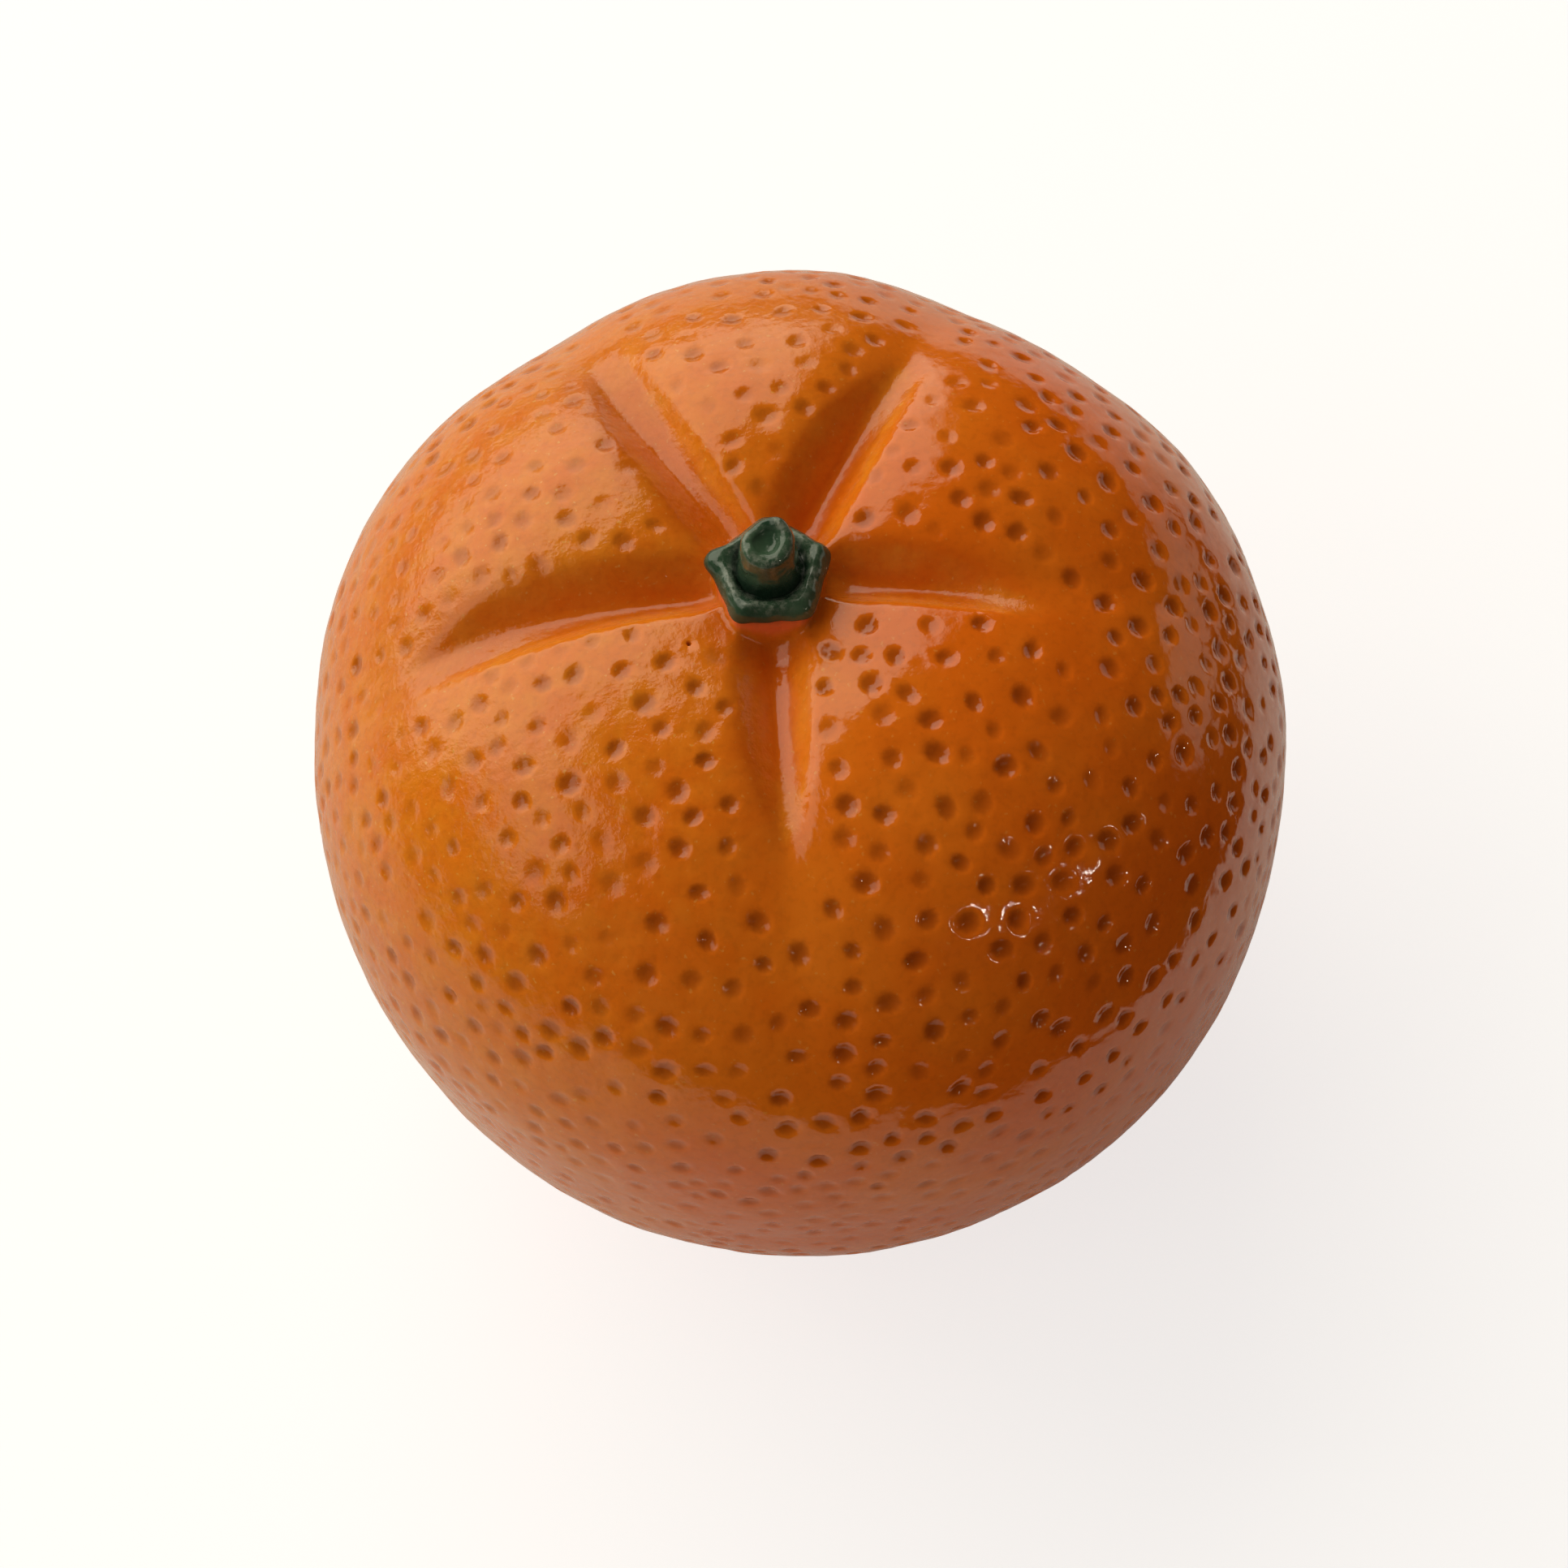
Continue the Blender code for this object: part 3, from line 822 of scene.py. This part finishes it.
def plain_material(name, colour, glow):
    """A matt surface with a glow of its own."""
    material = bpy.data.materials.new(name)
    material.use_nodes = True
    shader = material.node_tree.nodes["Principled BSDF"]
    shader.inputs["Base Color"].default_value = (*colour, 1.0)
    shader.inputs["Roughness"].default_value = 0.9
    shader.inputs["Specular IOR Level"].default_value = 0.0
    shader.inputs["Emission Color"].default_value = (1.0, 1.0, 1.0, 1.0)
    shader.inputs["Emission Strength"].default_value = glow
    return material


def brighten_to_the_right(material):
    """Lets a surface glow more on the side that the light leaves in shade."""
    tree = material.node_tree
    place = tree.nodes.new("ShaderNodeTexCoord")
    split = tree.nodes.new("ShaderNodeSeparateXYZ")
    rise = tree.nodes.new("ShaderNodeMapRange")
    rise.interpolation_type = "SMOOTHSTEP"
    tree.links.new(place.outputs["Object"], split.inputs[0])
    tree.links.new(split.outputs["X"], rise.inputs["Value"])
    rise.inputs["From Min"].default_value = 0.035
    rise.inputs["From Max"].default_value = 0.10
    rise.inputs["To Min"].default_value = 0.03
    rise.inputs["To Max"].default_value = 0.165
    tree.links.new(rise.outputs["Result"], tree.nodes["Principled BSDF"].inputs["Emission Strength"])


def stage_plane(name, corners, material):
    """A flat part of the stage, which isn't part of the object."""
    mesh = bpy.data.meshes.new(name)
    mesh.from_pydata(corners, [], [(0, 1, 2, 3)])
    mesh.materials.append(material)
    obj = bpy.data.objects.new(name, mesh)
    bpy.context.scene.collection.objects.link(obj)
    return obj


def make_floor():
    """The pale floor that the camera sees, and the pale table top that the glaze reflects."""
    reach = 6.0
    drop = -0.00005
    corners = [(-reach, -reach, drop), (reach, -reach, drop), (reach, reach, drop), (-reach, reach, drop)]
    floor = stage_plane("floor", corners, plain_material("floor_white", (0.5, 0.5, 0.5), 0.72))
    floor.visible_glossy = False
    floor.visible_diffuse = False
    floor.visible_shadow = False
    turn = math.radians(320)
    out = Vector((math.cos(turn), math.sin(turn), 0))
    side = Vector((-out.y, out.x, 0))
    near, far, wide = 0.105, -3.0, 3.0
    low = Vector((0, 0, -0.0004))
    corners = [low + out * near - side * wide, low + out * near + side * wide]
    corners += [low + out * far + side * wide, low + out * far - side * wide]
    pale = plain_material("table_pale", (0.85, 0.83, 0.80), 0.03)
    brighten_to_the_right(pale)
    table = stage_plane("table_top", corners, pale)
    table.visible_camera = False


def area_light(name, azimuth, elevation, distance, size, radiance, tint, facing=None):
    """A rectangle of light in a direction from the middle of the body, facing it if not told."""
    light = bpy.data.lights.new(name, "AREA")
    light.shape = "RECTANGLE"
    light.size, light.size_y = size
    light.energy = radiance * math.pi * size[0] * size[1]
    light.color = tint
    obj = bpy.data.objects.new(name, light)
    a, e = math.radians(azimuth), math.radians(elevation)
    out = Vector((math.cos(a) * math.cos(e), math.sin(a) * math.cos(e), math.sin(e)))
    obj.location = Vector((0, 0, EQUATOR_HEIGHT * MM)) + out * distance
    obj.rotation_mode = "QUATERNION"
    facing = out if facing is None else facing
    obj.rotation_quaternion = facing.to_track_quat("Z", "Y")
    bpy.context.scene.collection.objects.link(obj)
    obj.visible_camera = False
    return obj


def side_light(name, azimuth, distance, across, heights, radiance, fade_across, fade_up):
    """An upright light facing the body; across runs anticlockwise-to-clockwise, heights upwards."""
    size = (across[1] - across[0], heights[1] - heights[0])
    turn = math.radians(azimuth)
    facing = Vector((math.cos(turn), math.sin(turn), 0))
    clockwise = Vector((facing.y, -facing.x, 0))
    light = area_light(name, azimuth, 0, distance, size, radiance, (1.0, 0.96, 0.78), facing)
    middle = Vector((0, 0, EQUATOR_HEIGHT * MM + (heights[0] + heights[1]) / 2))
    light.location = middle + facing * distance + clockwise * (across[0] + across[1]) / 2
    soften_edges(light, fade_across, fade_up)
    return light


def soften_edges(light, across, along):
    """Fades a light's glow towards its edges; each share is how much of a side the fade takes."""
    light.data.use_nodes = True
    tree = light.data.node_tree
    glow = tree.nodes["Emission"]
    place = tree.nodes.new("ShaderNodeNewGeometry")
    split = tree.nodes.new("ShaderNodeSeparateXYZ")
    tree.links.new(place.outputs["Parametric"], split.inputs[0])
    strength = None
    for axis, (low, high) in (("X", across), ("Y", along)):
        for start, full in ((0.0, low), (1.0, 1.0 - high)):
            fade = tree.nodes.new("ShaderNodeMapRange")
            fade.interpolation_type = "SMOOTHSTEP"
            tree.links.new(split.outputs[axis], fade.inputs["Value"])
            fade.inputs["From Min"].default_value = start
            fade.inputs["From Max"].default_value = full
            if strength is None:
                strength = fade.outputs["Result"]
                continue
            both = tree.nodes.new("ShaderNodeMath")
            both.operation = "MULTIPLY"
            tree.links.new(strength, both.inputs[0])
            tree.links.new(fade.outputs["Result"], both.inputs[1])
            strength = both.outputs["Value"]
    tree.links.new(strength, glow.inputs["Strength"])


def make_lights():
    """A wide window behind, a skylight on the left, a soft fill, a dim panel and small lamps."""
    side_light("window", 115, 0.8, (-0.84, 0.80), (0.105, 1.80), 1.78, (0.16, 0.03), (0.035, 0.16))
    side_light("skylight", 180, 0.8, (-0.44, 0.36), (0.45, 1.70), 1.15, (0.1, 0.1), (0.08, 0.15))
    fill = area_light("fill", 215, 30, 1.2, (1.4, 1.0), 0.32, (1.0, 0.97, 0.92))
    fill.visible_glossy = False
    panel = side_light("panel", 15, 0.8, (-0.6, 0.28), (-0.10, 0.19), 0.60, (0.1, 0.1), (0.05, 0.12))
    panel.visible_diffuse = False
    for number, place in enumerate(LAMPS, 1):
        lamp = area_light(f"lamp_{number}", *place, LAMP_DISTANCE, LAMP_SIZE, LAMP_RADIANCE, LAMP_TINT)
        lamp.visible_diffuse = False
    world = bpy.data.worlds.new("room")
    world.use_nodes = True
    tree = world.node_tree
    back = tree.nodes["Background"]
    seen = tree.nodes.new("ShaderNodeLightPath")
    choose = tree.nodes.new("ShaderNodeMix")
    choose.data_type = "RGBA"
    tree.links.new(seen.outputs["Is Camera Ray"], choose.inputs[0])
    room = tree.nodes.new("ShaderNodeMix")
    room.data_type = "RGBA"
    tree.links.new(seen.outputs["Is Diffuse Ray"], room.inputs[0])
    room.inputs[6].default_value = (0.004, 0.004, 0.005, 1)
    room.inputs[7].default_value = (0.18, 0.14, 0.115, 1)
    tree.links.new(room.outputs[2], choose.inputs[6])
    choose.inputs[7].default_value = (0.96, 0.96, 0.96, 1)
    tree.links.new(choose.outputs[2], back.inputs["Color"])
    bpy.context.scene.world = world


def make_camera():
    """A camera above and in front, rolled a little as if held in the hand."""
    elevation = math.radians(CAMERA_ELEVATION)
    roll = math.radians(CAMERA_ROLL)
    distance = CAMERA_DISTANCE * BODY_RADIUS * MM
    back = Vector((0, -math.cos(elevation), math.sin(elevation)))
    camera = bpy.data.cameras.new("camera")
    camera.lens = CAMERA_LENS
    camera.sensor_width = 36.0
    camera.shift_x, camera.shift_y = CAMERA_SHIFT
    camera.clip_start = 0.01
    camera.clip_end = 20.0
    obj = bpy.data.objects.new("camera", camera)
    obj.location = Vector((0, 0, EQUATOR_HEIGHT * MM)) + back * distance
    obj.rotation_mode = "QUATERNION"
    turn = back.to_track_quat("Z", "Y")
    turn.rotate(Quaternion(back, -roll))
    obj.rotation_quaternion = turn
    bpy.context.scene.collection.objects.link(obj)
    bpy.context.scene.camera = obj


def main():
    """The figure's three pieces on their body, and the stage, light and camera round them."""
    bpy.context.scene.view_settings.view_transform = "Standard"
    make_camera()
    orange, green = orange_glaze(), green_glaze()
    for piece, node, slot, material in (
        (make_body(), "fruit_body", "orange_glaze", orange),
        (make_calyx(), "calyx", "green_glaze", green),
        (make_stem(), "stem", "green_glaze", green),
    ):
        piece.data.materials.append(material)
        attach(piece, "root")
        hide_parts(node)
    make_floor()
    make_lights()


main()
